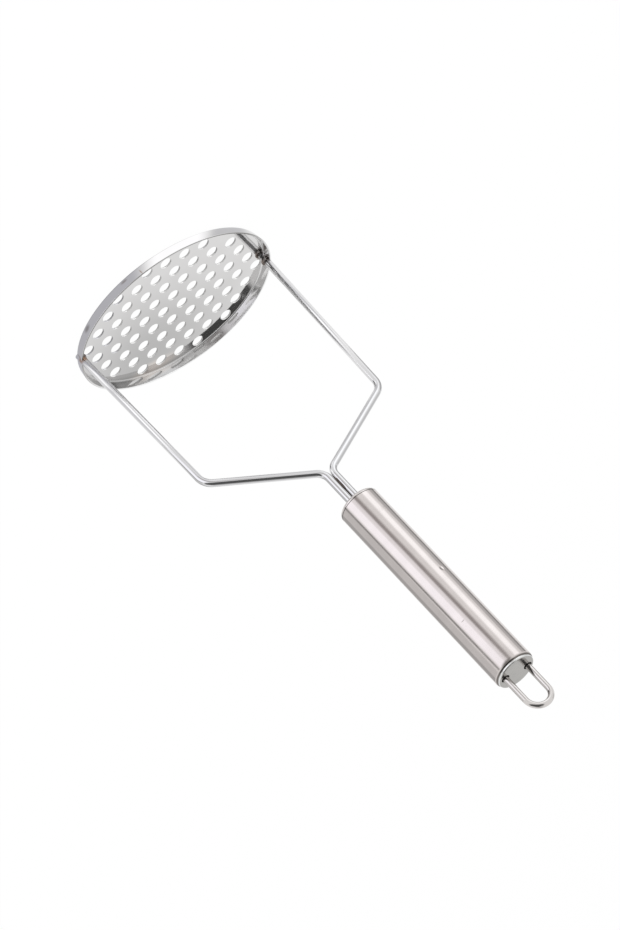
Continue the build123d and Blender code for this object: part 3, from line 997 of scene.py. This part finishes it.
def card_form(form, tones, covers, card):
    colour, direction, half_width, softness, slant, foot, head = card
    reach = half_width + softness
    columns, rows = 48, 20
    grid = []
    for row in range(rows + 1):
        up = row / rows
        distance = foot[0] + (head[0] - foot[0]) * up
        height = foot[1] + (head[1] - foot[1]) * up
        line = []
        for column in range(columns + 1):
            aside = reach * (2.0 * column / columns - 1.0)
            angle = math.radians(direction + aside + slant * (up - SLANT_MIDDLE))
            corner = form.verts.new((
                distance * math.cos(angle), distance * math.sin(angle), height
            ))
            fade = min(1.0, max(0.0, (reach - abs(aside)) / softness))
            if foot[1] > RAISED_FOOT:
                fade *= min(1.0, up / FOOT_FADE)
            fade *= min(1.0, (1.0 - up) / HEAD_FADE)
            corner[tones] = (*colour, 1.0)
            corner[covers] = fade * fade * (3.0 - 2.0 * fade)
            line.append(corner)
        grid.append(line)
    for row in range(rows):
        for column in range(columns):
            form.faces.new((
                grid[row][column], grid[row][column + 1],
                grid[row + 1][column + 1], grid[row + 1][column],
            ))


card_mesh = bpy.data.meshes.new("studio_cards")
form = bmesh.new()
tones = form.verts.layers.float_color.new("tone")
covers = form.verts.layers.float.new("cover")
for card in CARDS:
    card_form(form, tones, covers, card)
form.to_mesh(card_mesh)
form.free()
board = bpy.data.materials.new("card_board")
board.use_nodes = True
board_tree = board.node_tree
board_tree.nodes.clear()
tone = add_node(board_tree, "ShaderNodeAttribute", attribute_name="tone")
cover = add_node(board_tree, "ShaderNodeAttribute", attribute_name="cover")
bright = add_node(board_tree, "ShaderNodeEmission", Strength=1.0)
clear = add_node(board_tree, "ShaderNodeBsdfTransparent")
edge = add_node(board_tree, "ShaderNodeMixShader")
board_tree.links.new(tone.outputs["Color"], bright.inputs["Color"])
board_tree.links.new(cover.outputs["Fac"], edge.inputs["Fac"])
board_tree.links.new(clear.outputs[0], edge.inputs[1])
board_tree.links.new(bright.outputs[0], edge.inputs[2])
board_out = add_node(board_tree, "ShaderNodeOutputMaterial")
board_tree.links.new(edge.outputs[0], board_out.inputs["Surface"])
board.cycles.emission_sampling = "NONE"
card_mesh.materials.append(board)
cards = bpy.data.objects.new("studio_cards", card_mesh)
scene.collection.objects.link(cards)
cards.visible_camera = False
cards.visible_diffuse = False
cards.visible_shadow = False

lamp_data = bpy.data.lights.new("overhead_lamp", "AREA")
lamp_data.shape = "DISK"
lamp_data.size = 1.2
lamp_data.energy = 16.0
lamp = bpy.data.objects.new("overhead_lamp", lamp_data)
scene.collection.objects.link(lamp)
lamp.location = (-0.5, 0.5, 1.6)
lamp_aim = Vector((0.0, 0.0, 0.1)) - lamp.location
lamp.rotation_euler = lamp_aim.to_track_quat("-Z", "Y").to_euler()
lamp.visible_glossy = False


# Camera, at the photograph's viewing angle. It looks down on the masher from
# behind its left leg and is rolled so that the handle runs to the lower right.
camera_data = bpy.data.cameras.new("camera")
camera_data.sensor_width = 36.0
camera_data.lens = 169.615
camera_data.clip_start = 0.05
camera_data.clip_end = 60.0
camera = bpy.data.objects.new("camera", camera_data)
scene.collection.objects.link(camera)
camera_turn = Matrix((
    (0.7994725, 0.4464431, -0.4019109),
    (0.0406860, 0.6272878, 0.7777240),
    (0.5993234, -0.6381210, 0.4833353),
))
camera_place = Matrix.Translation((-0.750154, 1.443735, 1.004005))
camera.matrix_world = camera_place @ camera_turn.to_4x4()
scene.camera = camera
